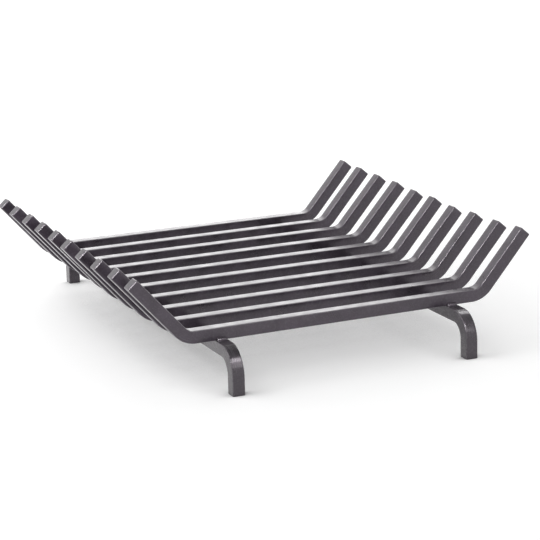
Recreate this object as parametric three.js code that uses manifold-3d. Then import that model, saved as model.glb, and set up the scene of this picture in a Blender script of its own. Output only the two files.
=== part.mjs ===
// A log grate: ten square steel bars, bent up at both ends so that they cradle the logs,
// lie side by side on two leg bars whose own ends are bent down into four feet.
// A fillet weld in front of each bar and one behind it fasten it to each leg bar.
//
// Frame: millimetres, +Z up, X along the grate bars, Y along the leg bars, front at -Y.
// The origin is on the floor, under the middle of the grate.

import * as THREE from 'three';
import { mergeVertices } from 'three/addons/utils/BufferGeometryUtils.js';
import Module from 'manifold-3d';

// Grate bars
const BAR_COUNT = 10;
const BAR_SIZE = 16; // side of the square bar
const BAR_PITCH = 58; // from one bar to the next
const BAR_RUN = 399.5; // level stretch on top, measured to where the arms' inner faces would meet it
const ARM_LENGTH = 95; // along the inner face of a raised end
const ARM_ANGLE = THREE.MathUtils.degToRad(49); // a raised end above the level
const ARM_INNER_RADIUS = 15;
const ARM_OUTER_RADIUS = 35; // the bar is drawn a little thinner where it is bent

// Leg bars
const LEG_SIZE = 16; // side of the square bar
const LEG_SPACING = 318; // between the middles of the two leg bars
const LEG_REACH = 49.5; // from an outermost grate bar's outer face to the outer face of a foot
const LEG_ANGLE = Math.PI / 2;
const LEG_INNER_RADIUS = 16;
const LEG_OUTER_RADIUS = 33;
const STAND_HEIGHT = 57.7; // top of the leg bars, where the grate bars rest

// Both kinds of bar
const EDGE_RADIUS = 1; // long edges of hot-rolled bar
const EDGE_STEPS = 2;
const BEND_STEPS = 4; // pairs of facets round a bend

// Welds
const WELD_LEG = 4; // height on the grate bar and width on the leg bar
const WELD_END_POWER = 0.55; // below 1 the bead keeps its girth nearly to its ends
const WELD_STEPS = 8; // facets along a bead
const WELD_SECTORS = 12; // facets round the whole turned bead, of which a quarter is kept

// Places that follow from the sizes
const LAST_BAR_Y = (BAR_COUNT - 1) * BAR_PITCH / 2;
const LEG_INNER_RUN = 2 * (LAST_BAR_Y + BAR_SIZE / 2 + LEG_REACH - LEG_SIZE);
const LEG_UNDERSIDE = STAND_HEIGHT - LEG_SIZE;
const GRATE_TOP = STAND_HEIGHT + BAR_SIZE;
const WELD_LENGTH = LEG_SIZE - 2 * EDGE_RADIUS; // the flat width on top of a leg bar

const barPaint = { color: 0x4a464b, roughness: 0.42, metalness: 0.35 };
const weldPaint = { color: 0x454146, roughness: 0.55, metalness: 0.35 };

// Adds a rounded corner to an outline, and with it the straight line that leads there.
function addBend(shape, before, corner, after, radius) {
  const back = before.clone().sub(corner).normalize();
  const ahead = after.clone().sub(corner).normalize();
  const halfAngle = back.angleTo(ahead) / 2;
  const bisector = back.clone().add(ahead).normalize();
  const centre = corner.clone().addScaledVector(bisector, radius / Math.sin(halfAngle));
  const reach = radius / Math.tan(halfAngle);
  const start = corner.clone().addScaledVector(back, reach).sub(centre);
  const end = corner.clone().addScaledVector(ahead, reach).sub(centre);
  const clockwise = back.cross(ahead) > 0;
  shape.absarc(centre.x, centre.y, radius, start.angle(), end.angle(), clockwise);
}

// The side view of a bar whose two ends are bent towards +y of the outline. The run between
// them has its inner face on y = 0, and each bend has its own radius inside and outside.
function bentBarOutline({ run, size, angle, endLength, innerRadius, outerRadius }) {
  const along = new THREE.Vector2(Math.cos(angle), Math.sin(angle));
  const across = new THREE.Vector2(Math.sin(angle), -Math.cos(angle));
  const inner = new THREE.Vector2(run / 2, 0);
  const outer = new THREE.Vector2(run / 2 + size * Math.tan(angle / 2), -size);
  const innerTip = inner.clone().addScaledVector(along, endLength);
  const outerTip = innerTip.clone().addScaledVector(across, size);
  const mirror = (point) => new THREE.Vector2(-point.x, point.y);

  const shape = new THREE.Shape();
  shape.moveTo(innerTip.x, innerTip.y);
  addBend(shape, innerTip, inner, mirror(inner), innerRadius);
  addBend(shape, inner, mirror(inner), mirror(innerTip), innerRadius);
  shape.lineTo(-innerTip.x, innerTip.y);
  shape.lineTo(-outerTip.x, outerTip.y);
  addBend(shape, mirror(outerTip), mirror(outer), outer, outerRadius);
  addBend(shape, mirror(outer), outer, outerTip, outerRadius);
  shape.lineTo(outerTip.x, outerTip.y);
  return shape;
}

// Gives an outline the bar's thickness, centred on z = 0, with rounded long edges.
function barGeometry(outline, size) {
  const flat = size - 2 * EDGE_RADIUS;
  const geometry = new THREE.ExtrudeGeometry(outline, {
    depth: flat,
    curveSegments: BEND_STEPS,
    bevelSize: EDGE_RADIUS,
    bevelThickness: EDGE_RADIUS,
    bevelOffset: -EDGE_RADIUS,
    bevelSegments: EDGE_STEPS,
  });
  return geometry.translate(0, 0, -flat / 2);
}

// A grate bar: the outline stands upright along X, with the top of the level stretch on z = 0.
function grateBarGeometry() {
  const outline = bentBarOutline({
    run: BAR_RUN,
    size: BAR_SIZE,
    angle: ARM_ANGLE,
    endLength: ARM_LENGTH,
    innerRadius: ARM_INNER_RADIUS,
    outerRadius: ARM_OUTER_RADIUS,
  });
  return barGeometry(outline, BAR_SIZE).rotateX(Math.PI / 2);
}

// A leg bar: the outline stands along Y and upside down, with its underside on z = 0.
function legBarGeometry() {
  const outline = bentBarOutline({
    run: LEG_INNER_RUN,
    size: LEG_SIZE,
    angle: LEG_ANGLE,
    endLength: LEG_UNDERSIDE,
    innerRadius: LEG_INNER_RADIUS,
    outerRadius: LEG_OUTER_RADIUS,
  });
  return barGeometry(outline, LEG_SIZE).rotateX(-Math.PI / 2).rotateZ(Math.PI / 2);
}

// Turns a closed geometry into a solid that can be cut.
function toSolid(wasm, geometry) {
  geometry.deleteAttribute('normal');
  geometry.deleteAttribute('uv');
  const merged = mergeVertices(geometry);
  const corners = merged.index.array;
  const triVerts = [];
  for (let i = 0; i < corners.length; i += 3) {
    const [a, b, c] = corners.slice(i, i + 3);
    if (a !== b && b !== c && c !== a) {
      triVerts.push(a, b, c);
    }
  }
  return new wasm.Manifold(new wasm.Mesh({
    numProp: 3,
    vertProperties: merged.attributes.position.array,
    triVerts: new Uint32Array(triVerts),
  }));
}

// Turns a cut solid back into a geometry.
function toGeometry(solid) {
  const { vertProperties, triVerts } = solid.getMesh();
  const geometry = new THREE.BufferGeometry();
  geometry.setAttribute('position', new THREE.BufferAttribute(vertProperties, 3));
  geometry.setIndex(new THREE.BufferAttribute(triVerts, 1));
  geometry.computeVertexNormals();
  return geometry;
}

// A weld bead along X in front of a bar: a turned bead with blunt ends, of which the quarter
// above the leg bar (z > 0) and in front of the grate bar (y < 0) is kept.
function weldGeometry(wasm) {
  const profile = [];
  for (let step = 0; step <= WELD_STEPS; step++) {
    const phase = Math.PI * step / WELD_STEPS;
    const radius = WELD_LEG * Math.abs(Math.sin(phase)) ** WELD_END_POWER;
    profile.push(new THREE.Vector2(radius, -Math.cos(phase) * WELD_LENGTH / 2));
  }
  const bead = new THREE.LatheGeometry(profile, WELD_SECTORS);
  bead.rotateY(Math.PI / WELD_SECTORS).rotateZ(Math.PI / 2);

  const corner = new THREE.BoxGeometry(2 * WELD_LENGTH, 2 * WELD_LEG, 2 * WELD_LEG);
  corner.translate(0, -WELD_LEG, WELD_LEG);
  return toGeometry(toSolid(wasm, bead).intersect(toSolid(wasm, corner)));
}

const wasm = await Module();
wasm.setup();

const grateBarShape = grateBarGeometry();
const legBarShape = legBarGeometry();
const weldShape = weldGeometry(wasm);

const group = new THREE.Group();

// Puts one piece, with a material of its own, into the grate.
function addPiece(name, geometry, paint, x, y, z) {
  const piece = new THREE.Mesh(geometry, new THREE.MeshStandardMaterial(paint));
  piece.name = name;
  piece.position.set(x, y, z);
  group.add(piece);
  return piece;
}

const legBars = { left: -LEG_SPACING / 2, right: LEG_SPACING / 2 };

for (const [side, x] of Object.entries(legBars)) {
  addPiece(`leg_bar_${side}`, legBarShape, barPaint, x, 0, LEG_UNDERSIDE);
}

for (let i = 0; i < BAR_COUNT; i++) {
  const number = String(i + 1).padStart(2, '0');
  const y = i * BAR_PITCH - LAST_BAR_Y;
  addPiece(`grate_bar_${number}`, grateBarShape, barPaint, 0, y, GRATE_TOP);

  for (const [side, x] of Object.entries(legBars)) {
    addPiece(`weld_${side}_${number}_front`, weldShape, weldPaint, x, y - BAR_SIZE / 2, STAND_HEIGHT);
    const back = addPiece(`weld_${side}_${number}_back`, weldShape, weldPaint, x, y + BAR_SIZE / 2, STAND_HEIGHT);
    back.rotation.z = Math.PI;
  }
}

export default group;
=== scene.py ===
"""A welded log grate: ten square bars with raised ends, on two leg bars that end in four feet."""

import logging
import math
from dataclasses import dataclass, field, replace
from enum import Enum
from typing import Callable, Sequence

import bpy
import numpy as np
from mathutils import Matrix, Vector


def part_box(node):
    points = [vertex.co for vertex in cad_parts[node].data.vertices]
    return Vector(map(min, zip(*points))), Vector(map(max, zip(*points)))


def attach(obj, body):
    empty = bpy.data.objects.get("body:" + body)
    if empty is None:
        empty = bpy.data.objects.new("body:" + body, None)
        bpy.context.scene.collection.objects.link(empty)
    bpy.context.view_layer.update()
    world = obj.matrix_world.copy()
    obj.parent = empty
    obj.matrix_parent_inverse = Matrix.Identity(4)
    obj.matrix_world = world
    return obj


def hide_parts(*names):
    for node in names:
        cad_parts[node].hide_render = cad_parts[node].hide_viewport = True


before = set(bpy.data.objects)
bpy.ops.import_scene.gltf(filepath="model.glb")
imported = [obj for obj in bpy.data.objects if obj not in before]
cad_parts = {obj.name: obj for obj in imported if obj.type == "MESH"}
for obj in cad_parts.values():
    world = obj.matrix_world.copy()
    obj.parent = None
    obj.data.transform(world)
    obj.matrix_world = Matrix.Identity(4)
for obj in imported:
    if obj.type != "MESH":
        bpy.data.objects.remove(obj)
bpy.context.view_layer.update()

log = logging.getLogger("log_grate")

Array = np.ndarray
MM = 0.001
ROOT = "root"

WAVE_COUNT = 5
WAVE_STRETCH = (0.75, 1.35)
WAVE_GAIN = 1.6  # brings the mean of the waves near to plus and minus one at its crests


# ---------------------------------------------------------------------------------------------
# Meshes from arrays
# ---------------------------------------------------------------------------------------------


def unit(vectors: Array) -> Array:
    """Scale each row vector to length one."""
    return vectors / np.linalg.norm(vectors, axis=-1, keepdims=True)


def tube_faces(rings: int, sides: int) -> tuple[Array, Array]:
    """Join stacked rings of points into quads, and close both ends with a fan to a middle point.

    Args:
        rings: Number of rings, stored one after the other.
        sides: Points in each ring.

    Returns:
        The quads, and the triangles of the two fans. The middle points follow the rings in the
        vertex list, the first ring's one first.
    """
    row = np.arange(rings - 1)[:, None] * sides
    here = np.arange(sides)[None, :]
    after = (here + 1) % sides
    quads = np.stack([row + here, row + after, row + sides + after, row + sides + here], axis=-1)
    first, last = rings * sides, rings * sides + 1
    top = (rings - 1) * sides
    near = np.stack([np.full(sides, first), after[0], here[0]], axis=-1)
    far = np.stack([np.full(sides, last), top + here[0], top + after[0]], axis=-1)
    return quads.reshape(-1, 4), np.concatenate([near, far])


def tube_object(name: str, grid: Array, marks: dict[str, Array]) -> bpy.types.Object:
    """Make a closed, smooth-shaded mesh object from a grid of rings.

    Args:
        name: Name of the object and its mesh.
        grid: Points in metres, as rings by sides by three.
        marks: Values from 0 to 1 on each grid point, kept as float attributes for the materials.

    Returns:
        The object, at the origin, with its place in its mesh.
    """
    rings, sides, _ = grid.shape
    quads, fans = tube_faces(rings, sides)
    points = np.concatenate([grid.reshape(-1, 3), [grid[0].mean(axis=0)], [grid[-1].mean(axis=0)]])
    mesh = bpy.data.meshes.new(name)
    mesh.from_pydata(points.tolist(), [], quads.tolist() + fans.tolist())
    mesh.polygons.foreach_set("use_smooth", np.ones(len(mesh.polygons), dtype=bool))
    for mark, values in marks.items():
        ends = [values[0].mean(), values[-1].mean()]
        attribute = mesh.attributes.new(mark, "FLOAT", "POINT")
        attribute.data.foreach_set("value", np.append(values.ravel(), ends).astype(np.float32))
    mesh.update()
    piece = bpy.data.objects.new(name, mesh)
    bpy.context.scene.collection.objects.link(piece)
    return piece


def waves(points: Array, period: float, seed: int) -> Array:
    """Slow unevenness of a rolled and painted surface, between about -1 and 1.

    The value is the mean of a few sine waves, times a gain. Each runs in a direction and with a
    phase drawn from the seed, with a period within about a third of the one asked for.

    Args:
        points: Points in metres, in any grid shape, the last axis being the coordinates.
        period: Length of a wave in metres.
        seed: Chooses the directions and the phases.

    Returns:
        One value for each point.
    """
    rng = np.random.default_rng(seed)
    directions = unit(rng.normal(size=(WAVE_COUNT, 3)))
    turns = 2 * math.pi / (period * rng.uniform(*WAVE_STRETCH, size=WAVE_COUNT))
    phases = rng.uniform(0, 2 * math.pi, size=WAVE_COUNT)
    return np.sin(points @ directions.T * turns + phases).mean(axis=-1) * WAVE_GAIN


# ---------------------------------------------------------------------------------------------
# Bent square bar
# ---------------------------------------------------------------------------------------------


@dataclass(frozen=True)
class Bend:
    """How both ends of a bar are turned."""

    angle: float
    """Turn of the end out of the line of the run, in radians."""
    end_length: float
    """Length of the end along its inner face, in metres."""
    inner_radius: float
    outer_radius: float


TIP_ARC_RINGS = 5
TIP_FACE_RINGS = (0.55, 0.22)  # size of the flat face's inner rings, as shares of the outline
TIP_EDGE_MARKS = (0.0, 0.5, 1.0, 1.0, 0.6, 0.0, 0.0)  # on the rings of a tip, from the side in
TIP_CUT_MARKS = (0.0, 0.0, 0.3, 0.7, 1.0, 1.0, 1.0)


@dataclass
class BentBar:
    """A square bar with both ends bent the same way, as a section carried along a path."""

    run: float
    """Distance between the corners where the inner face of the run would meet those of the ends."""
    size: float
    left: Bend
    right: Bend
    edge_radius: float = 0.95 * MM
    tip_radius: float = 1.3 * MM
    """Rounding of the edge round a tip's cut face."""
    swell: float = 0.45 * MM
    """How far a bend's inner half bulges sideways, and its outer half draws in."""
    run_steps: int = 90
    bend_steps: int = 18
    end_steps: int = 26
    face_steps: int = 5
    edge_steps: int = 4

    def _fillet(self, corner: Array, before: Array, after: Array, radius: float) -> Array:
        """Points on the arc of a radius that is tangent to two lines through a corner.

        The centre lies on the bisector, a radius over the sine of the half angle from the corner.
        The arc turns evenly from the first tangent point to the second.

        Args:
            corner: Where the lines meet.
            before: A point on the line that leads to the corner.
            after: A point on the line that leads away.
            radius: Radius of the arc in metres.

        Returns:
            The points, one step more than the bend has steps.
        """
        back, ahead = unit(before - corner), unit(after - corner)
        half = math.acos(float(np.clip(back @ ahead, -1, 1))) / 2
        centre = corner + unit(back + ahead) * radius / math.sin(half)
        start = corner + back * radius / math.tan(half) - centre
        sweep = math.pi - 2 * half
        side = math.copysign(1.0, back[0] * ahead[1] - back[1] * ahead[0])
        turn = -side * sweep * np.linspace(0, 1, self.bend_steps + 1)[:, None]
        swung = np.hstack([
            start[0] * np.cos(turn) - start[1] * np.sin(turn),
            start[0] * np.sin(turn) + start[1] * np.cos(turn),
        ])
        return centre + swung

    def _side_line(self, inner: bool) -> tuple[Array, Array]:
        """One long face seen from the side, from the left tip to the right tip.

        Args:
            inner: True for the face inside the bends, False for the one outside.

        Returns:
            The points in the plane of the bends, and how far into a bend each one is, from 0 to 1.
        """
        corners = []
        for bend, way in ((self.left, -1.0), (self.right, 1.0)):
            along = np.array([way * math.cos(bend.angle), math.sin(bend.angle)])
            across = np.array([way * math.sin(bend.angle), -math.cos(bend.angle)])
            corner = np.array([way * self.run / 2, 0.0])
            tip = corner + along * bend.end_length
            if not inner:
                corner = corner + np.array([way * self.size * math.tan(bend.angle / 2), -self.size])
                tip = tip + across * self.size
            corners.append((tip, corner))
        (tip_l, corner_l), (tip_r, corner_r) = corners
        radii = [b.inner_radius if inner else b.outer_radius for b in (self.left, self.right)]
        arc_l = self._fillet(corner_l, tip_l, corner_r, radii[0])
        arc_r = self._fillet(corner_r, corner_l, tip_r, radii[1])
        end = np.linspace(0, 1, self.end_steps, endpoint=False)[:, None]
        middle = np.linspace(0, 1, self.run_steps + 1)[1:-1, None]
        points = np.vstack([
            tip_l + (arc_l[0] - tip_l) * end,
            arc_l,
            arc_l[-1] + (arc_r[0] - arc_l[-1]) * middle,
            arc_r,
            tip_r + (arc_r[-1] - tip_r) * end[::-1],
        ])
        hump = np.sin(np.linspace(0, math.pi, self.bend_steps + 1))
        straight_end, straight_run = np.zeros(self.end_steps), np.zeros(self.run_steps - 1)
        bent = np.concatenate([straight_end, hump, straight_run, hump, straight_end])
        return points, bent

    def _section(self) -> tuple[Array, Array]:
        """The rounded square of the bar, with corners at plus and minus one.

        Each side is walked from corner arc to corner arc, so that the arcs keep the edge radius.

        Returns:
            The points, counted anticlockwise, and a mark that is 1 on the rounded edges.
        """
        edge = 2 * self.edge_radius / self.size
        flat = np.linspace(-1 + edge, 1 - edge, self.face_steps + 1)
        swing = np.linspace(0, math.pi / 2, self.edge_steps + 2)[1:-1]
        points, marks = [], []
        for quarter in range(4):
            turn = quarter * math.pi / 2
            side = np.column_stack([np.ones_like(flat), flat])
            arc = 1 - edge + edge * np.column_stack([np.cos(swing), np.sin(swing)])
            local = np.vstack([side, arc])
            spin = np.array([[math.cos(turn), math.sin(turn)], [-math.sin(turn), math.cos(turn)]])
            points.append(local @ spin)
            marks.append(np.concatenate([np.zeros(len(flat)), np.ones(len(swing))]))
        points_all, marks_all = np.vstack(points), np.concatenate(marks)
        return points_all, marks_all

    def grid(self) -> tuple[Array, dict[str, Array]]:
        """Carry the section along the bar.

        A ring's point is the middle of the inner and outer face there, plus the section's height
        along the line that joins them and its width square to the plane of the bends. In a bend
        the width grows towards the inner face and shrinks towards the outer one. Smaller rings at
        each tip make its rounded edge and its flat cut face.

        Returns:
            Points as rings by sides by (along, out of plane, towards the inner side), in metres,
            and the marks edge, cut, bend and lane (the way round the section) on them.
        """
        inner, bent = self._side_line(inner=True)
        outer, _ = self._side_line(inner=False)
        section, edge = self._section()
        middle = (inner + outer) / 2
        lift = (inner - outer) / 2
        height, width = section[:, 1], section[:, 0]
        plane = middle[:, None, :] + height[None, :, None] * lift[:, None, :]
        flare = self.swell * bent[:, None] * height[None, :]
        out = width[None, :] * (self.size / 2 + flare)
        rings = np.stack([plane[..., 0], out, plane[..., 1]], axis=-1)
        marks = {
            "edge": np.broadcast_to(edge, rings.shape[:2]).copy(),
            "cut": np.zeros(rings.shape[:2]),
            "bend": np.broadcast_to(bent[:, None], rings.shape[:2]).copy(),
            "lane": np.broadcast_to(np.linspace(0, 1, len(edge)), rings.shape[:2]).copy(),
        }
        return self._capped(rings, marks)

    def _capped(self, rings: Array, marks: dict[str, Array]) -> tuple[Array, dict[str, Array]]:
        """Turn the last ring at each tip into a rounded edge and a flat cut face.

        On the rounded edge a ring at angle t from the bar's side is the tip's outline, drawn
        towards its middle by the radius times one minus the cosine of t and set back by the radius
        times one minus the sine of t. The flat face's rings are that outline, drawn further in.

        Args:
            rings: The bar's rings, the first and the last at its tips.
            marks: The marks on them.

        Returns:
            The rings and marks with both tips closed in.
        """
        swing = np.linspace(0, math.pi / 2, TIP_ARC_RINGS)
        draw = 1 - 2 * self.tip_radius / self.size * (1 - np.cos(swing))
        shares = np.concatenate([draw, TIP_FACE_RINGS])[:, None, None]
        set_back = np.append(self.tip_radius * (1 - np.sin(swing)), np.zeros(len(TIP_FACE_RINGS)))
        backs = set_back[:, None, None]
        rim = np.array(TIP_EDGE_MARKS)[:, None]
        cut = np.array(TIP_CUT_MARKS)[:, None]
        for tip, beyond in ((0, 1), (-1, -2)):
            centre = rings[tip].mean(axis=0)
            inward = unit((rings[beyond].mean(axis=0) - centre)[None, :])[0]
            cap = centre + (rings[tip] - centre) * shares + inward * backs
            grid_shape = cap.shape[:2]
            added = {name: np.broadcast_to(row[tip], grid_shape) for name, row in marks.items()}
            added["edge"] = np.maximum(added["edge"] * (1 - cut), rim)
            added["cut"] = np.broadcast_to(cut, grid_shape)
            if tip == 0:
                rings = np.concatenate([cap[::-1], rings[1:]])
                marks = {n: np.concatenate([added[n][::-1], marks[n][1:]]) for n in marks}
            else:
                rings = np.concatenate([rings[:-1], cap])
                marks = {n: np.concatenate([marks[n][:-1], added[n]]) for n in marks}
        return rings, marks


# ---------------------------------------------------------------------------------------------
# Finishes
# ---------------------------------------------------------------------------------------------


class Socket(Enum):
    """Socket types of a shader group."""

    VALUE = "NodeSocketFloat"
    VECTOR = "NodeSocketVector"


class Nodes:
    """Adds and links the nodes of one tree, with short calls."""

    def __init__(self, tree: bpy.types.NodeTree) -> None:
        """Work in a tree, which may already hold nodes."""
        self.tree = tree

    def add(self, kind: str, **settings: object) -> bpy.types.Node:
        """Add a node.

        Args:
            kind: Blender's name of the node type.
            settings: Its properties, by name.

        Returns:
            The node.
        """
        node = self.tree.nodes.new(kind)
        for name, value in settings.items():
            setattr(node, name, value)
        return node

    def feed(self, socket: bpy.types.NodeSocket, source: object) -> None:
        """Link a source to a socket, or set the socket's value where the source is a plain value.

        Args:
            socket: The input to fill.
            source: A socket, a value, or None to leave the input as it is.
        """
        if isinstance(source, bpy.types.NodeSocket):
            self.tree.links.new(source, socket)
        elif source is not None:
            socket.default_value = source

    def math(
        self, operation: str, a: object, b: object = None, clamp: bool = False
    ) -> bpy.types.NodeSocket:
        """Apply an arithmetic operation.

        Args:
            operation: Blender's name of the operation.
            a: The first value or socket.
            b: The second one.
            clamp: Whether the result is held between 0 and 1.

        Returns:
            The result.
        """
        node = self.add("ShaderNodeMath", operation=operation, use_clamp=clamp)
        self.feed(node.inputs[0], a)
        self.feed(node.inputs[1], b)
        return node.outputs[0]

    def spread(
        self, value: object, low: float, high: float, to_low: float, to_high: float
    ) -> bpy.types.NodeSocket:
        """Map a range onto another one, smoothly and held at its ends.

        Args:
            value: The value or socket to map.
            low: Where the range starts.
            high: Where it ends.
            to_low: The result at and below its start.
            to_high: The result at and above its end.

        Returns:
            The result.
        """
        node = self.add("ShaderNodeMapRange", interpolation_type="SMOOTHSTEP")
        for index, source in enumerate((value, low, high, to_low, to_high)):
            self.feed(node.inputs[index], source)
        return node.outputs[0]

    def mix(self, share: object, a: object, b: object) -> bpy.types.NodeSocket:
        """Blend two colours.

        Args:
            share: From 0, the first colour, to 1, the second.
            a: The first colour or socket.
            b: The second one.

        Returns:
            The blend.
        """
        node = self.add("ShaderNodeMix", data_type="RGBA")
        self.feed(node.inputs[0], share)
        self.feed(node.inputs[6], a)
        self.feed(node.inputs[7], b)
        return node.outputs[2]

    def noise(
        self, place: object, scale: float, detail: float, rough: float
    ) -> bpy.types.NodeSocket:
        """Fractal noise.

        Args:
            place: Socket of the place where the noise is read.
            scale: Features in a metre.
            detail: Number of finer layers.
            rough: Strength of each layer against the one before.

        Returns:
            The noise, about 0.5 in the middle.
        """
        node = self.add("ShaderNodeTexNoise")
        self.feed(node.inputs["Vector"], place)
        self.feed(node.inputs["Scale"], scale)
        self.feed(node.inputs["Detail"], detail)
        self.feed(node.inputs["Roughness"], rough)
        return node.outputs["Fac"]

    def mark(self, name: str) -> bpy.types.NodeSocket:
        """Read a float attribute of the mesh."""
        return self.add("ShaderNodeAttribute", attribute_name=name).outputs["Fac"]


def shader_group(
    name: str,
    inputs: Sequence[tuple[str, Socket, object]],
    outputs: Sequence[tuple[str, Socket]],
    build: Callable[[Nodes, dict, dict], None],
) -> bpy.types.NodeTree:
    """Make a shader node group.

    Args:
        name: Name of the group.
        inputs: Name, type and default of each input.
        outputs: Name and type of each output.
        build: Fills the group, given its nodes, the input sockets and the output sockets by name.

    Returns:
        The group.
    """
    tree = bpy.data.node_groups.new(name, "ShaderNodeTree")
    for label, kind, default in inputs:
        socket = tree.interface.new_socket(label, in_out="INPUT", socket_type=kind.value)
        socket.default_value = default
    for label, kind in outputs:
        tree.interface.new_socket(label, in_out="OUTPUT", socket_type=kind.value)
    nodes = Nodes(tree)
    source, target = nodes.add("NodeGroupInput"), nodes.add("NodeGroupOutput")
    given = {label: source.outputs[label] for label, _, _ in inputs}
    wanted = {label: target.inputs[label] for label, _ in outputs}
    build(nodes, given, wanted)
    return tree


FINE_SHARE = 0.3  # of the finest grain in the paint's film, beside its pebbles


def fill_paint_grain(nodes: Nodes, given: dict, wanted: dict) -> None:
    """Sprayed paint over rolled steel: a fine pebbled film and wider, shallow unevenness.

    Args:
        nodes: The group's nodes.
        given: Its input sockets by name.
        wanted: Its output sockets by name.
    """
    place = given["Place"]
    fine = nodes.noise(place, scale=1500.0, detail=2.0, rough=0.6)
    pebble = nodes.noise(place, scale=420.0, detail=3.0, rough=0.55)
    broad = nodes.noise(place, scale=55.0, detail=3.0, rough=0.5)
    parts = nodes.math("MULTIPLY", fine, FINE_SHARE), nodes.math("MULTIPLY", pebble, 1 - FINE_SHARE)
    film = nodes.math("ADD", *parts)
    nodes.feed(wanted["Film"], film)
    nodes.feed(wanted["Broad"], broad)


def fill_edge_wear_and_highlight(nodes: Nodes, given: dict, wanted: dict) -> None:
    """Where the paint is thinner along an edge, lightened partly as a painted highlight: the edge
    mark, broken up by noise.

    Args:
        nodes: The group's nodes.
        given: Its input sockets by name.
        wanted: Its output sockets by name.
    """
    breakup = nodes.noise(given["Place"], scale=130.0, detail=4.0, rough=0.65)
    ragged = nodes.spread(breakup, low=0.38, high=0.66, to_low=0.35, to_high=1.0)
    nodes.feed(wanted["WearAndHighlight"], nodes.math("MULTIPLY", given["Edge"], ragged, clamp=True))


def fill_draw_marks_and_glints(nodes: Nodes, given: dict, wanted: dict) -> None:
    """Fine lines where the bending tool drew the bar, lightened partly as painted glints: noise
    that changes across the bar only.

    Args:
        nodes: The group's nodes.
        given: Its input sockets by name.
        wanted: Its output sockets by name.
    """
    across = nodes.add("ShaderNodeCombineXYZ")
    nodes.feed(across.inputs[0], nodes.math("MULTIPLY", given["Lane"], given["Lines"]))
    streaks = nodes.noise(across.outputs[0], scale=1.0, detail=2.0, rough=0.6)
    lines = nodes.spread(streaks, low=0.46, high=0.70, to_low=0.0, to_high=1.0)
    breakup = nodes.noise(given["Place"], scale=60.0, detail=2.0, rough=0.5)
    patchy = nodes.spread(breakup, low=0.35, high=0.60, to_low=0.2, to_high=1.0)
    # Lighter streaks in the bends: partly drawn lines, partly painted glints.
    drawn_and_glints = nodes.math("MULTIPLY", nodes.math("MULTIPLY", lines, patchy), given["Bend"], clamp=True)
    nodes.feed(wanted["MarksAndGlints"], drawn_and_glints)


def fill_dust(nodes: Nodes, given: dict, wanted: dict) -> None:
    """Light dust on what faces up, thinned out by noise.

    Args:
        nodes: The group's nodes.
        given: Its input sockets by name.
        wanted: Its output sockets by name.
    """
    normal = nodes.add("ShaderNodeNewGeometry").outputs["Normal"]
    split = nodes.add("ShaderNodeSeparateXYZ")
    nodes.feed(split.inputs[0], normal)
    upward = nodes.spread(split.outputs["Z"], low=0.35, high=1.0, to_low=0.0, to_high=1.0)
    breakup = nodes.noise(given["Place"], scale=26.0, detail=5.0, rough=0.6)
    patchy = nodes.spread(breakup, low=0.36, high=0.70, to_low=0.25, to_high=1.0)
    nodes.feed(wanted["Dust"], nodes.math("MULTIPLY", upward, patchy, clamp=True))


@dataclass
class Effects:
    """The shared surface effects, built once."""

    grain: bpy.types.NodeTree = field(init=False)
    wear_and_highlight: bpy.types.NodeTree = field(init=False)
    draw_marks_and_glints: bpy.types.NodeTree = field(init=False)
    dust: bpy.types.NodeTree = field(init=False)

    def __post_init__(self) -> None:
        """Build the groups."""
        place = ("Place", Socket.VECTOR, (0.0, 0.0, 0.0))
        films = [("Film", Socket.VALUE), ("Broad", Socket.VALUE)]
        self.grain = shader_group("paint_grain", [place], films, fill_paint_grain)
        edge = ("Edge", Socket.VALUE, 0.0)
        worn_and_highlight = [("WearAndHighlight", Socket.VALUE)]
        self.wear_and_highlight = shader_group("edge_wear_and_highlight", [place, edge], worn_and_highlight, fill_edge_wear_and_highlight)
        bent = [
            ("Lane", Socket.VALUE, 0.0), ("Lines", Socket.VALUE, 70.0), ("Bend", Socket.VALUE, 0.0),
        ]
        marks = [("MarksAndGlints", Socket.VALUE)]
        self.draw_marks_and_glints = shader_group("draw_marks_and_glints", [place, *bent], marks, fill_draw_marks_and_glints)
        self.dust = shader_group("hearth_dust", [place], [("Dust", Socket.VALUE)], fill_dust)


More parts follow.
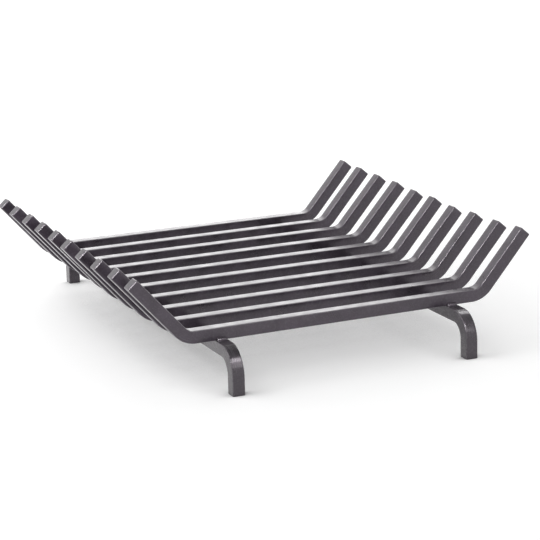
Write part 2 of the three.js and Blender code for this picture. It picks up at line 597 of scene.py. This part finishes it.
@dataclass(frozen=True)
class PaintFinish:
    """Satin heat-resistant paint on one kind of piece."""

    slot: str
    colour: tuple[float, float, float] = (0.026, 0.020, 0.029)
    patches: tuple[float, float] = (0.72, 1.30)
    """The colour's darkest and lightest patches, as shares of it."""
    worn_and_highlight: tuple[float, float, float] = (0.17, 0.165, 0.175)
    # Colour of speckles, and of thin edges and draw marks, where it is partly painted highlight.
    """Colour of speckles, thin edges and draw marks."""
    # Lighter cut tips: partly bare sawn steel, partly painted light on the tip faces that look up.
    cut_tone_with_painted_light: tuple[float, float, float] = (0.050, 0.046, 0.052)
    dust_tone: tuple[float, float, float] = (0.20, 0.19, 0.19)
    sheen_tone: tuple[float, float, float] = (1.0, 0.86, 1.0)
    roughness: float = 0.36
    roughness_swing: float = 0.10
    index: float = 1.55
    """Refractive index of the paint."""
    coat: float = 0.55
    coat_roughness: float = 0.17
    coat_index: float = 1.5
    speckle: float = 0.10
    wear_and_highlight: float = 0.50
    drawn_and_glints: float = 0.25
    # Strength of the draw marks in the bends, partly painted glints.
    """Strength of the draw marks in the bends."""
    drawn_polish: float = 0.4
    """How much smoother a draw mark is."""
    dust: float = 0.05
    grain_depth: float = 0.10 * MM
    broad_depth: float = 0.20 * MM

    def material(self, effects: Effects) -> bpy.types.Material:
        """Build the material of this finish.

        The colour is the paint's, lighter where it is thin along edges and in the draw marks of the
        bends, both partly painted highlight, lighter on the cut tips, partly painted light on tip
        faces that look up, and lighter where dust lies. Roughness follows the broad unevenness. One
        bump carries that unevenness, and another one on top of it the film.

        Args:
            effects: The shared groups.

        Returns:
            The material, named after its slot.
        """
        material = bpy.data.materials.new(f"{self.slot}_finish")
        material.use_nodes = True
        nodes = Nodes(material.node_tree)
        shader = material.node_tree.nodes["Principled BSDF"]
        place = nodes.add("ShaderNodeTexCoord").outputs["Object"]
        grain = self._group(nodes, effects.grain, place)
        wear_and_highlight = self._group(nodes, effects.wear_and_highlight, place)
        drawn_and_glints = self._group(nodes, effects.draw_marks_and_glints, place)
        dust = self._group(nodes, effects.dust, place)
        nodes.feed(wear_and_highlight.inputs["Edge"], nodes.mark("edge"))
        nodes.feed(drawn_and_glints.inputs["Lane"], nodes.mark("lane"))
        nodes.feed(drawn_and_glints.inputs["Bend"], nodes.mark("bend"))

        film, broad = grain.outputs["Film"], grain.outputs["Broad"]
        darker, lighter = (tuple(share * c for c in self.colour) + (1.0,) for share in self.patches)
        patchy = nodes.spread(broad, low=0.3, high=0.7, to_low=0.0, to_high=1.0)
        tone = nodes.mix(patchy, darker, lighter)
        grainy = nodes.spread(film, low=0.47, high=0.64, to_low=0.0, to_high=self.speckle)
        speckled = nodes.mix(grainy, tone, self.worn_and_highlight + (1.0,))
        # Lighter edges and draw marks: partly thin paint and drawn lines, partly painted highlight.
        thin_edge_and_highlight = nodes.math("MULTIPLY", wear_and_highlight.outputs["WearAndHighlight"], self.wear_and_highlight)
        streak_and_glint = nodes.math("MULTIPLY", drawn_and_glints.outputs["MarksAndGlints"], self.drawn_and_glints)
        edged = nodes.mix(nodes.math("MAXIMUM", thin_edge_and_highlight, streak_and_glint), speckled, self.worn_and_highlight + (1.0,))
        rough_cut = nodes.spread(film, low=0.35, high=0.65, to_low=0.45, to_high=1.0)
        # Painted light: the cut tips are lighter, partly as bare sawn steel and partly as light on
        # faces that look up.
        sawn_and_lit = nodes.math("MULTIPLY", nodes.mark("cut"), rough_cut)
        ended = nodes.mix(sawn_and_lit, edged, self.cut_tone_with_painted_light + (1.0,))
        dusty = nodes.math("MULTIPLY", dust.outputs["Dust"], self.dust)
        nodes.feed(shader.inputs["Base Color"], nodes.mix(dusty, ended, self.dust_tone + (1.0,)))

        glossy, dull = self.roughness - self.roughness_swing, self.roughness + self.roughness_swing
        satin = nodes.spread(broad, low=0.25, high=0.75, to_low=glossy, to_high=dull)
        polish = nodes.math("MULTIPLY", streak_and_glint, self.drawn_polish)
        nodes.feed(shader.inputs["Roughness"], nodes.math("SUBTRACT", satin, polish))
        shader.inputs["Metallic"].default_value = 0.0
        shader.inputs["IOR"].default_value = self.index
        shader.inputs["Specular Tint"].default_value = self.sheen_tone + (1.0,)
        shader.inputs["Coat Weight"].default_value = self.coat
        shader.inputs["Coat Roughness"].default_value = self.coat_roughness
        shader.inputs["Coat IOR"].default_value = self.coat_index

        coarse = nodes.add("ShaderNodeBump")
        coarse.inputs["Strength"].default_value = 1.0
        coarse.inputs["Distance"].default_value = self.broad_depth
        nodes.feed(coarse.inputs["Height"], broad)
        bump = nodes.add("ShaderNodeBump")
        bump.inputs["Strength"].default_value = 1.0
        bump.inputs["Distance"].default_value = self.grain_depth
        nodes.feed(bump.inputs["Height"], film)
        nodes.feed(bump.inputs["Normal"], coarse.outputs["Normal"])
        nodes.feed(shader.inputs["Normal"], bump.outputs["Normal"])
        return material

    @staticmethod
    def _group(
        nodes: Nodes, tree: bpy.types.NodeTree, place: bpy.types.NodeSocket
    ) -> bpy.types.Node:
        """Place a shared group in a material.

        Args:
            nodes: The material's nodes.
            tree: The group.
            place: Socket of the object's own coordinates.

        Returns:
            The group's node.
        """
        node = nodes.add("ShaderNodeGroup", node_tree=tree)
        nodes.feed(node.inputs["Place"], place)
        return node


# ---------------------------------------------------------------------------------------------
# Sub-assemblies
# ---------------------------------------------------------------------------------------------


def dress(piece: bpy.types.Object, node: str, material: bpy.types.Material) -> None:
    """Give a finished piece its material, and let it stand for its node in the frame.

    Args:
        piece: The finished piece.
        node: Name of the node that it stands for.
        material: Its material.
    """
    piece.data.materials.append(material)
    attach(piece, ROOT)
    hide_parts(node)
    log.info("%s: %d faces", piece.name, len(piece.data.polygons))


@dataclass(frozen=True)
class HandWork:
    """How one grate bar departs from the drawing, set to where the photographed bar lies."""

    back: float = 0.0
    """Shift along the leg bars, in millimetres."""
    turned: float = 0.0
    """Turn about the vertical, in degrees, positive with the right end towards the back."""
    along: float = 0.0
    """Shift along the bar itself, in millimetres."""
    left_long: float = 0.0
    """Extra length of the left arm, in millimetres."""
    right_long: float = 0.0
    left_bent: float = 0.0
    """Extra bend of the left arm, in degrees."""
    right_bent: float = 0.0

    def shift(self, x: Array | float) -> Array | float:
        """How far back the bar lies at each x, in metres."""
        return self.back * MM + x * math.tan(math.radians(self.turned))


@dataclass
class GrateBars:
    """The ten parallel bars whose raised ends hold the logs."""

    finish: PaintFinish
    run: float = 399.5 * MM
    size: float = 16 * MM
    bend: Bend = Bend(math.radians(49), 95 * MM, 15 * MM, 35 * MM)
    unevenness: float = 0.10 * MM
    uneven_period: float = 90 * MM
    hand_work: Sequence[HandWork] = (
        HandWork(1.8, 0.5, 0.8, 1.5, 2.2, -0.4, 0.0),
        HandWork(0.3, 0.2, 0.8, 2.5, -0.5, -0.4, 0.0),
        HandWork(-0.1, 0.1, -1.7, 1.8, -0.6, -0.4, 0.0),
        HandWork(-0.5, -0.25, -1.6, 2.2, -2.9, -0.4, 0.0),
        HandWork(0.3, -0.3, -2.1, 2.0, -0.5, -0.3, 0.0),
        HandWork(0.4, 0.0, -0.6, 2.3, -1.2, -0.2, -0.8),
        HandWork(0.0, 0.0, -1.2, 2.0, 0.8, -0.1, -0.5),
        HandWork(0.0, 0.0, -1.6, 1.5, 0.8, 0.0, -0.4),
        HandWork(-0.5, 0.0, -2.2, 1.5, 1.5, 0.0, 0.0),
        HandWork(0.0, 0.0, -1.2, 0.8, 2.0, 0.0, 0.0),
    )

    def _bar(self, work: HandWork) -> BentBar:
        """One bar as drawn, with its own small errors at both ends.

        Args:
            work: The errors.

        Returns:
            The bar.
        """
        ends = [
            replace(
                self.bend,
                angle=self.bend.angle + math.radians(bent),
                end_length=self.bend.end_length + long * MM,
            )
            for long, bent in ((work.left_long, work.left_bent), (work.right_long, work.right_bent))
        ]
        return BentBar(self.run, self.size, ends[0], ends[1])

    def build(self, effects: Effects) -> None:
        """Make each bar where its node is, and dress it.

        Args:
            effects: The shared groups.
        """
        material = self.finish.material(effects)
        names = sorted(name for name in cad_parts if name.startswith("grate_bar"))
        for number, (node, work) in enumerate(zip(names, self.hand_work)):
            low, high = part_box(node)
            rings, marks = self._bar(work).grid()
            middle = (low.y + high.y) / 2
            top = low.z + self.size
            points = rings * np.array([1.0, -1.0, 1.0]) + np.array([work.along * MM, middle, top])
            points = points[:, ::-1]
            marks = {name: values[:, ::-1] for name, values in marks.items()}
            rough = waves(points, self.uneven_period, seed=number) * self.unevenness
            points[..., 1] += rough + work.shift(points[..., 0])
            piece = tube_object(f"{node}_finished", points, marks)
            dress(piece, node, material)


@dataclass
class LegBars:
    """The two bars under the grate bars, with their ends bent down into feet."""

    finish: PaintFinish
    size: float = 16 * MM
    bend_inner: float = 16 * MM
    bend_outer: float = 33 * MM
    unevenness: float = 0.10 * MM
    uneven_period: float = 90 * MM
    first_seed: int = 50
    run_steps: int = 120
    foot_radius: float = 0.6 * MM
    sideways: float = 1.9 * MM
    """How far to the right of the drawing both were welded."""

    def build(self, effects: Effects) -> None:
        """Make each leg bar where its node is, and dress it.

        Args:
            effects: The shared groups.
        """
        material = self.finish.material(effects)
        names = sorted(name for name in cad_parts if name.startswith("leg_bar"))
        for number, node in enumerate(names):
            low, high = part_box(node)
            drop = high.z - self.size
            bend = Bend(math.pi / 2, drop, self.bend_inner, self.bend_outer)
            bar = BentBar(
                high.y - low.y - 2 * self.size, self.size, bend, bend,
                tip_radius=self.foot_radius, run_steps=self.run_steps,
            )
            rings, marks = bar.grid()
            middle = (low.x + high.x) / 2 + self.sideways
            points = np.stack([
                middle + rings[..., 1], rings[..., 0], drop - rings[..., 2],
            ], axis=-1)
            rough = waves(points, self.uneven_period, seed=self.first_seed + number)
            points[..., 0] += rough * self.unevenness
            piece = tube_object(f"{node}_finished", points, marks)
            dress(piece, node, material)


@dataclass
class Welds:
    """The rippled fillet beads between the grate bars and the leg bars."""

    finish: PaintFinish
    first_seed: int = 100
    ripples: int = 7
    ripple_depth: float = 0.09
    ripple_power: float = 0.7
    """Below 1 a ripple has a narrow groove and a wide crest."""
    crescent: float = 1.21
    """How far a ripple lags at the bead's sides, as an angle of its wave."""
    end_power: float = 0.5
    """Below 1 a bead keeps its girth nearly to its ends."""
    fullness: float = 1.06
    """Girth of a bead against its node's."""
    girth_scatter: float = 0.10
    slide: float = 0.6
    """How far a bead's middle may slip along it, in millimetres."""
    waver: float = 0.1 * MM
    """How far it wavers from the bar and back."""
    past_corner: float = 0.12
    """How far the round face turns past its two bars' faces, in radians."""
    steps: int = 64
    sectors: int = 14
    sink: float = 0.25 * MM
    """How far the hidden sides reach into the bars, so that no slit shows."""

    def _bead(self, length: float, leg: float, seed: int) -> tuple[Array, dict[str, Array]]:
        """One bead along x, in the corner of y below 0 and z above 0.

        A point's distance from the corner is the weld's leg, times a blunt end shape (a power of a
        sine), times one plus a ripple. The ripple is a sharpened cosine of the place along the
        bead, bent back in the middle like a row of crescents, and a little noise makes each
        crescent its own.

        Args:
            length: Length of the bead in metres.
            leg: Its height on the grate bar in metres.
            seed: Chooses its irregularities.

        Returns:
            Points as rings by sides by three, and the marks on them.
        """
        rng = np.random.default_rng(seed)
        along = np.linspace(0, math.pi, self.steps + 1)[1:-1][:, None]
        last_turn = math.pi / 2 + self.past_corner
        swing = np.linspace(-self.past_corner, last_turn, self.sectors + 1)[None, :]
        lag = self.crescent * np.cos(2 * (swing - math.pi / 4))
        drift = rng.uniform(-0.5, 0.5)
        phase = self.ripples * (1 - np.cos(along)) * math.pi - lag + drift
        ripple = self.ripple_depth * (np.abs(np.cos(phase / 2)) ** self.ripple_power - 0.5)
        girth = leg * (1 + self.girth_scatter * rng.uniform(-1, 1))
        body = girth * np.sin(along) ** self.end_power * (1 + ripple)
        waver = self.waver * np.sin(along + rng.uniform(0, 2))
        slip = rng.uniform(-self.slide, self.slide) * MM
        x = np.broadcast_to(-np.cos(along) * length / 2 + slip * np.sin(along), body.shape)
        y = -body * np.cos(swing) + waver
        z = body * np.sin(swing)
        corner = np.full((body.shape[0], 1), self.sink)
        grid = np.stack([
            np.hstack([x, x[:, :1]]),
            np.hstack([np.minimum(y, self.sink), corner]),
            np.hstack([np.maximum(z, -self.sink), -corner]),
        ], axis=-1)
        marks = {"edge": np.zeros(grid.shape[:2]), "cut": np.zeros(grid.shape[:2])}
        # The ripple crests take the edge mark, so they are lightened, partly as painted highlight.
        marks["edge"][:, :-1] = np.clip(ripple / self.ripple_depth, 0, 1)
        marks["bend"] = np.zeros(grid.shape[:2])
        marks["lane"] = np.broadcast_to(np.linspace(0, 1, grid.shape[1]), grid.shape[:2])
        return grid[:, ::-1], {name: values[:, ::-1] for name, values in marks.items()}

    def build(self, effects: Effects, hand_work: Sequence[HandWork], sideways: float) -> None:
        """Lay each bead in the corner that its node fills, following its two bars' own places.

        Args:
            effects: The shared groups.
            hand_work: The grate bars' departures, from the front bar to the back one.
            sideways: The leg bars' shift along x in metres.
        """
        material = self.finish.material(effects)
        names = sorted(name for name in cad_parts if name.startswith("weld"))
        for seed, node in enumerate(names):
            _, _, number, end = node.split("_")
            low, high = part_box(node)
            leg = (high.z - low.z) * self.fullness
            rings, marks = self._bead(high.x - low.x, leg, self.first_seed + seed)
            middle = (low.x + high.x) / 2 + sideways
            shift = hand_work[int(number) - 1].shift(middle)
            if end == "front":
                points = rings + np.array([middle, high.y + shift, low.z])
            else:
                turned = rings * np.array([-1.0, -1.0, 1.0])
                points = turned + np.array([middle, low.y + shift, low.z])
            piece = tube_object(f"{node}_finished", points, marks)
            dress(piece, node, material)


# ---------------------------------------------------------------------------------------------
# Studio
# ---------------------------------------------------------------------------------------------


@dataclass(frozen=True)
class Lamp:
    """A soft rectangular lamp that looks at a point, all in metres and watts."""

    name: str
    place: tuple[float, float, float]
    aim: tuple[float, float, float]
    size: tuple[float, float]
    watts: float
    glint_only: bool = False
    """True for a lamp that is seen in the gloss of the paint but throws no light or shadow."""

    def build(self) -> None:
        """Hang the lamp, unseen by the camera."""
        data = bpy.data.lights.new(self.name, "AREA")
        data.shape = "RECTANGLE"
        data.size, data.size_y = self.size
        data.energy = self.watts
        lamp = bpy.data.objects.new(self.name, data)
        back = unit(np.array(self.place) - np.array(self.aim))
        right = unit(np.cross([0.0, 0.0, 1.0], back))
        matrix = np.eye(4)
        matrix[:3, 0], matrix[:3, 1], matrix[:3, 2] = right, np.cross(back, right), back
        matrix[:3, 3] = self.place
        lamp.matrix_world = Matrix(matrix.tolist())
        lamp.visible_camera = False
        lamp.visible_diffuse = not self.glint_only
        bpy.context.scene.collection.objects.link(lamp)


@dataclass
class Studio:
    """Camera, floor, world and lamps."""

    camera_place: tuple[float, float, float] = (-1.0407, -2.4720, 0.7426)
    yaw: float = math.radians(23.32)
    """Turn of the view to the right of +Y."""
    pitch: float = math.radians(-14.17)
    roll: float = math.radians(-1.67)
    lens: float = 135.67
    """Focal length in millimetres, as the sensor's width is."""
    sensor_width: float = 36.0
    clipping: tuple[float, float] = (0.05, 100.0)
    floor_size: float = 30.0
    floor_tone: float = 0.80
    floor_glow: float = 0.38
    """Added to the open floor, to the camera and to gloss, so that it is white there."""
    shade_glow: float = 0.0
    # The same where the grate stands over the floor, which sets the depth of the painted shadow
    # there.
    """The same where the grate stands over the floor."""
    far_glow: float = 0.45
    """Added far out, where the lamps no longer reach the floor."""
    far_from: tuple[float, float] = (0.6, 2.2)
    """Where the far glow starts and where it is full, in metres from the middle."""
    sky_tilts: tuple[float, float] = (math.radians(58), math.radians(50))
    # The glow follows the clearer of two skies, read by ambient occlusion, whose middles lean this
    # far left and right; it paints the floor's shadow.
    """The glow follows the clearer of two skies, whose middles lean this far left and right."""
    shade_sky: float = 0.50
    # Share of an open sky where the glow is least, at the darkest of the painted shadow.
    """Share of an open sky where the glow is least."""
    shadow_reach: float = 0.32
    # How near something has to be to keep the floor from the full glow, which is how far the
    # painted shadow reaches.
    """How near something has to be to keep the floor from the full glow."""
    sky_samples: int = 16
    horizon: tuple[float, float] = (0.25, 0.75)
    """Heights between which the pale horizon of the world fades, as the sine of the elevation."""
    overhead: float = 0.30
    """Strength of the world overhead."""
    # The last three lamps make the highlights on the bends of the two front feet.
    lamps: Sequence[Lamp] = (
        Lamp("back_panel", (1.1, 3.2, 1.3), (0.0, 0.0, 0.1), (3.0, 2.0), 27.4),
        Lamp("left_panel", (-2.2, 0.9, 2.0), (-0.2, 0.0, 0.05), (2.8, 2.4), 56.0),
        Lamp("right_panel", (2.6, 0.4, 0.9), (0.2, 0.0, 0.05), (2.0, 1.4), 12.0),
        Lamp("front_left", (-1.8, -2.2, 2.2), (0.0, 0.0, 0.1), (0.8, 0.8), 150.0, True),
        Lamp("overhead_front", (0.48, -1.30, 1.38), (-0.16, -0.31, 0.04), (0.6, 0.45), 4.8, True),
        Lamp("front_soft", (0.55, -1.75, 1.05), (-0.16, -0.31, 0.04), (0.9, 0.9), 5.0, True),
        Lamp("overhead_right", (0.87, 0.40, 1.17), (0.16, -0.31, 0.04), (0.4, 0.4), 2.0, True),
    )

    def camera(self) -> None:
        """Put the camera at the photograph's viewing angle."""
        forward = np.array([
            math.sin(self.yaw) * math.cos(self.pitch),
            math.cos(self.yaw) * math.cos(self.pitch),
            math.sin(self.pitch),
        ])
        right = np.array([math.cos(self.yaw), -math.sin(self.yaw), 0.0])
        up = np.cross(right, forward)
        right_rolled = math.cos(self.roll) * right + math.sin(self.roll) * up
        up_rolled = -math.sin(self.roll) * right + math.cos(self.roll) * up
        data = bpy.data.cameras.new("camera")
        data.lens = self.lens
        data.sensor_width = self.sensor_width
        data.clip_start, data.clip_end = self.clipping
        camera = bpy.data.objects.new("camera", data)
        matrix = np.eye(4)
        matrix[:3, 0], matrix[:3, 1], matrix[:3, 2] = right_rolled, up_rolled, -forward
        matrix[:3, 3] = self.camera_place
        camera.matrix_world = Matrix(matrix.tolist())
        bpy.context.scene.collection.objects.link(camera)
        bpy.context.scene.camera = camera

    def floor(self) -> None:
        """Lay a pale floor that keeps the grate's cast shadow, adds a painted shadow under and
        around the grate, and is white to the camera elsewhere.
        """
        half = self.floor_size / 2
        mesh = bpy.data.meshes.new("floor")
        corners = [(-half, -half, 0), (half, -half, 0), (half, half, 0), (-half, half, 0)]
        mesh.from_pydata(corners, [], [(0, 1, 2, 3)])
        floor = bpy.data.objects.new("floor", mesh)
        bpy.context.scene.collection.objects.link(floor)
        material = bpy.data.materials.new("floor")
        material.use_nodes = True
        material.node_tree.nodes.clear()
        nodes = Nodes(material.node_tree)
        diffuse = nodes.add("ShaderNodeBsdfDiffuse")
        diffuse.inputs["Color"].default_value = (self.floor_tone,) * 3 + (1.0,)
        # Painted shadow: the glow is less where little sky is clear, so the floor is darker under
        # and around the grate, to the camera and in the paint's gloss.
        skies = []
        for way, tilt in zip((-1.0, 1.0), self.sky_tilts):
            sky = nodes.add("ShaderNodeAmbientOcclusion", samples=self.sky_samples)
            sky.inputs["Distance"].default_value = self.shadow_reach
            nodes.feed(sky.inputs["Normal"], (way * math.sin(tilt), 0.0, math.cos(tilt)))
            above_floor = (1 + math.cos(tilt)) / 2
            skies.append(nodes.math("DIVIDE", sky.outputs["AO"], above_floor))
        seen = nodes.math("MAXIMUM", skies[0], skies[1])
        clear = nodes.spread(seen, self.shade_sky, 1.0, self.shade_glow, self.floor_glow)
        path = nodes.add("ShaderNodeLightPath")
        rays = nodes.math("MAXIMUM", path.outputs["Is Camera Ray"], path.outputs["Is Glossy Ray"])
        glow = nodes.add("ShaderNodeEmission")
        glow.inputs["Color"].default_value = (1.0, 1.0, 1.0, 1.0)
        away = nodes.add("ShaderNodeVectorMath", operation="LENGTH")
        nodes.feed(away.inputs[0], nodes.add("ShaderNodeTexCoord").outputs["Object"])
        far = nodes.spread(away.outputs["Value"], *self.far_from, to_low=0.0, to_high=self.far_glow)
        strength = nodes.math("MULTIPLY", rays, nodes.math("ADD", clear, far))
        nodes.feed(glow.inputs["Strength"], strength)
        total = nodes.add("ShaderNodeAddShader")
        nodes.feed(total.inputs[0], diffuse.outputs[0])
        nodes.feed(total.inputs[1], glow.outputs[0])
        output = nodes.add("ShaderNodeOutputMaterial")
        nodes.feed(output.inputs["Surface"], total.outputs[0])
        mesh.materials.append(material)

    def world(self) -> None:
        """White to the camera; a pale horizon that darkens overhead to everything else."""
        world = bpy.data.worlds.new("studio")
        bpy.context.scene.world = world
        world.use_nodes = True
        world.node_tree.nodes.clear()
        nodes = Nodes(world.node_tree)
        split = nodes.add("ShaderNodeSeparateXYZ")
        nodes.feed(split.inputs[0], nodes.add("ShaderNodeTexCoord").outputs["Generated"])
        shade = nodes.spread(split.outputs["Z"], *self.horizon, to_low=1.0, to_high=self.overhead)
        white = nodes.add("ShaderNodeLightPath").outputs["Is Camera Ray"]
        strength = nodes.math("MAXIMUM", shade, white)
        background = nodes.add("ShaderNodeBackground")
        background.inputs["Color"].default_value = (1.0, 1.0, 1.0, 1.0)
        nodes.feed(background.inputs["Strength"], strength)
        output = nodes.add("ShaderNodeOutputWorld")
        nodes.feed(output.inputs["Surface"], background.outputs[0])

    def build(self) -> None:
        """Make the whole studio."""
        self.camera()
        self.floor()
        self.world()
        for lamp in self.lamps:
            lamp.build()
        bpy.context.scene.view_settings.view_transform = "Standard"


def main() -> None:
    """Build the studio and the grate."""
    logging.basicConfig(level=logging.INFO, format="%(message)s")
    Studio().build()
    effects = Effects()
    bars = GrateBars(PaintFinish("grate_bar_paint"))
    bars.build(effects)
    leg_paint = PaintFinish(
        "leg_bar_paint", colour=(0.019, 0.016, 0.020), roughness=0.30,
        coat=0.6, coat_roughness=0.12, drawn_and_glints=0.6,
    )
    legs = LegBars(leg_paint)
    legs.build(effects)
    weld_paint = PaintFinish(
        "weld_paint", colour=(0.020, 0.016, 0.023), roughness=0.42, coat=0.35, wear_and_highlight=0.25,
    )
    Welds(weld_paint).build(effects, bars.hand_work, legs.sideways)


if __name__ == "__main__":
    main()
